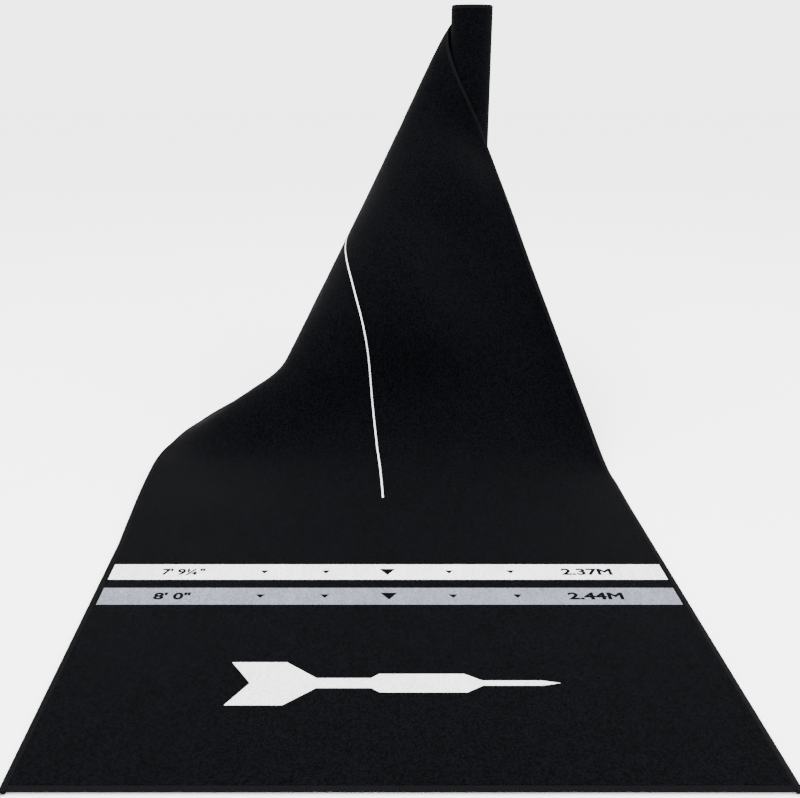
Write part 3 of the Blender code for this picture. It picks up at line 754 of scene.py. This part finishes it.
def build_mat():
    black = pile_finish("black_pile", PILE_DARK, PILE_LIGHT, "UV")
    white = pile_finish("white_pile", (0.86, 0.87, 0.89), (0.95, 0.955, 0.965), sheen=0.05)
    grey = pile_finish("grey_pile", (0.150, 0.155, 0.195), (0.215, 0.22, 0.27))
    inlay = pile_finish("black_inlay", PILE_DARK, PILE_LIGHT)
    rubber, cloth, yarn = rubber_finish(), cloth_finish(), yarn_finish()

    field_end = BINDING_WIDTH + TOUCH_GAP
    band_t = MAT_WIDTH / 2 - BAND_INSET + TOUCH_GAP
    line_t = LINE_WIDTH / 2
    lift = LAY_SHIFT + S_LIFT * SCALE
    roll_start = LAY_SHIFT + WIND_START
    round_roll = roll_stations()
    flat_s = [field_end]
    for edge in (S_GREY - BAND_DEPTH - TOUCH_GAP, S_GREY + TOUCH_GAP, S_WHITE - BAND_DEPTH - TOUCH_GAP,
                 S_WHITE + TOUCH_GAP, lift):
        flat_s += spread(flat_s[-1], edge, FLAT_STEP)[1:]
    span_s = spread(lift, LINE_START - TOUCH_GAP, LIFT_STEP)
    span_s += spread(span_s[-1], roll_start - NEAR_ROLL * SCALE, SPAN_STEP)[1:]
    span_s += spread(span_s[-1], roll_start, NEAR_ROLL_STEP)[1:]
    whole_s = flat_s + span_s[1:] + round_roll[1:]
    half = [line_t + TOUCH_GAP] + spread(line_t + TOUCH_GAP, band_t, PILE_STEP)[1:] + [HALF_FIELD]
    fine_t = [-v for v in reversed(half)] + half
    half = [line_t] + spread(line_t, HALF_FIELD, PLAIN_STEP)[1:]
    plain_t = [-v for v in reversed(half)] + half

    backing = layer_piece("rubber_sheet", whole_s, plain_t, RUBBER_LEVELS, rubber)
    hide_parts("rubber_backing", "rubber_backing_rolled")
    weave = layer_piece("tufting_cloth_sheet", whole_s, plain_t, CLOTH_LEVELS, cloth)
    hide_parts("tufting_cloth", "tufting_cloth_rolled")
    windows = [(S_GREY - BAND_DEPTH - TOUCH_GAP, S_GREY + TOUCH_GAP, -band_t, band_t),
               (S_WHITE - BAND_DEPTH - TOUCH_GAP, S_WHITE + TOUCH_GAP, -band_t, band_t),
               (LINE_START - TOUCH_GAP, MAT_LENGTH, -line_t - TOUCH_GAP, line_t + TOUCH_GAP)]
    pile = layer_piece("pile_sheet", whole_s, fine_t, PILE_LEVELS, black, windows)
    cut_out(pile, grown_copy(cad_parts["dart_emblem"]))
    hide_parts("black_pile", "black_pile_rolled_left", "black_pile_rolled_right")
    line_s = [LINE_START] + [v for v in whole_s if v > LINE_START]
    line = layer_piece("centre_line_sheet", line_s, [-line_t, line_t], PILE_LEVELS, white)
    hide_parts("centre_line", "centre_line_rolled")

    pieces = [(backing, "nitrile_rubber"), (weave, "tufting_cloth"), (pile, "black_pile"),
              (line, "white_pile")]
    tree = wrap_tree(yarn)
    inner = MAT_WIDTH / 2 - BINDING_WIDTH
    long_s = [0.0, field_end] + flat_s[1:] + span_s[1:] + round_roll[1:] + [MAT_LENGTH]
    for side, sign, seed in (("left", -1, 2), ("right", 1, 4)):
        path_t = [sign * inner] * len(long_s)
        edge = edge_piece("overlock_%s" % side, long_s, path_t, (0, sign), yarn)
        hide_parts("edge_binding_%s" % side, "edge_binding_%s_rolled" % side)
        wraps = wraps_piece("overlock_%s_wraps" % side, tree, long_s, path_t, (0, sign), seed)
        pieces += [(edge, "overlock_yarn"), (wraps, "overlock_yarn")]
    reach = inner - TOUCH_GAP
    across = spread(-reach, reach, ACROSS_STEP)
    for label, at, sign, seed in (("near", BINDING_WIDTH, -1, 6),
                                  ("far", MAT_LENGTH - BINDING_WIDTH, 1, 8)):
        path_s = [at] * len(across)
        edge = edge_piece("overlock_%s" % label, path_s, across, (sign, 0), yarn)
        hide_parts("edge_binding_%s" % label)
        wraps = wraps_piece("overlock_%s_wraps" % label, tree, path_s, across, (sign, 0), seed)
        pieces += [(edge, "overlock_yarn"), (wraps, "overlock_yarn")]

    for name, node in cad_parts.items():
        if "mark" in name:
            repaint(node, inlay)
        elif name == "grey_throw_band":
            repaint(node, grey)
        elif name in ("white_throw_band", "dart_emblem"):
            repaint(node, white)
    for name, words, t, s_far, width in FIGURES:
        figure = figure_piece(name, words, t, s_far - BAND_DEPTH / 2, width, inlay)
        pieces.append((figure, "black_pile"))

    for piece, slot in pieces:
        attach(piece, "root")


def repaint(node, finish):
    node.data.materials.clear()
    node.data.materials.append(finish)


def grown_copy(node):
    """A taller, slightly larger copy of an inlay, to cut its seat from the pile."""
    mesh = node.data.copy()
    cutter = bpy.data.objects.new("cutter", mesh)
    scene.collection.objects.link(cutter)
    work = bmesh.new()
    work.from_mesh(mesh)
    bmesh.ops.remove_doubles(work, verts=work.verts, dist=WELD)
    bmesh.ops.dissolve_limit(work, angle_limit=math.radians(1), verts=work.verts, edges=work.edges)
    bmesh.ops.recalc_face_normals(work, faces=work.faces)
    work.normal_update()
    middle_z = MID_HEIGHT + (PILE_LEVELS[0] + PILE_LEVELS[1]) / 2
    shift = {}
    for v in work.verts:
        sides = [f.normal for f in v.link_faces if abs(f.normal.z) < 0.5]
        total = sum((n for n in sides), sides[0] * 0)
        if len(sides) > 1:
            total = total / (1 + sides[0].dot(sides[-1]))
        shift[v] = total * TOUCH_GAP
    for v, move in shift.items():
        v.co += move
        v.co.z = middle_z + math.copysign(0.02, v.co.z - middle_z)
    work.to_mesh(mesh)
    work.free()
    return cutter


def cut_out(piece, cutter):
    bite = piece.modifiers.new("seat", "BOOLEAN")
    bite.operation = "DIFFERENCE"
    bite.solver = "EXACT"
    bite.object = cutter
    bpy.context.view_layer.update()
    seen = piece.evaluated_get(bpy.context.evaluated_depsgraph_get())
    cut_mesh = bpy.data.meshes.new_from_object(seen)
    piece.modifiers.remove(bite)
    piece.data = cut_mesh
    cut_mesh.shade_smooth()
    cut_mesh.set_sharp_from_angle(angle=SHARP_ANGLE)
    bpy.data.objects.remove(cutter)


# ---- the studio ------------------------------------------------------------------------
def area_light(name, place, aim, size, power):
    data = bpy.data.lights.new(name, "AREA")
    data.shape = "DISK"
    data.size = size
    data.energy = power
    light = bpy.data.objects.new(name, data)
    light.location = place
    light.rotation_euler = (Vector(aim) - Vector(place)).to_track_quat("-Z", "Y").to_euler()
    scene.collection.objects.link(light)


def build_studio():
    floor_mesh = bpy.data.meshes.new("floor")
    far = FLOOR_REACH
    corners = [(-far, -far, 0), (far, -far, 0), (far, far, 0), (-far, far, 0)]
    floor_mesh.from_pydata(corners, [], [(0, 1, 2, 3)])
    floor_mesh.materials.append(floor_finish())
    floor = bpy.data.objects.new("floor", floor_mesh)
    floor.location.z = -FLOOR_DROP
    scene.collection.objects.link(floor)
    world = bpy.data.worlds.new("studio")
    world.use_nodes = True
    back = world.node_tree.nodes["Background"]
    back.inputs["Color"].default_value = (1, 1, 1, 1)
    back.inputs["Strength"].default_value = WORLD_STRENGTH
    scene.world = world
    area_light("key", (-1.6, -1.4, 2.6), (0, 0.3, 0.2), 1.6, 120)
    area_light("fill", (2.4, -1.0, 1.6), (0, 0.5, 0.3), 2.0, 55)
    area_light("top", (0.2, 0.9, 3.0), (0, 0.5, 0.2), 2.2, 90)

    data = bpy.data.cameras.new("camera")
    data.lens = CAMERA_LENS
    data.sensor_width = 36.0
    data.shift_x = CAMERA_SHIFT
    camera = bpy.data.objects.new("camera", data)
    camera.location = CAMERA_PLACE
    camera.rotation_euler = (math.radians(90) - CAMERA_DIP, 0, 0)
    scene.collection.objects.link(camera)
    bpy.context.scene.camera = camera


build_mat()
build_studio()
bpy.context.view_layer.update()
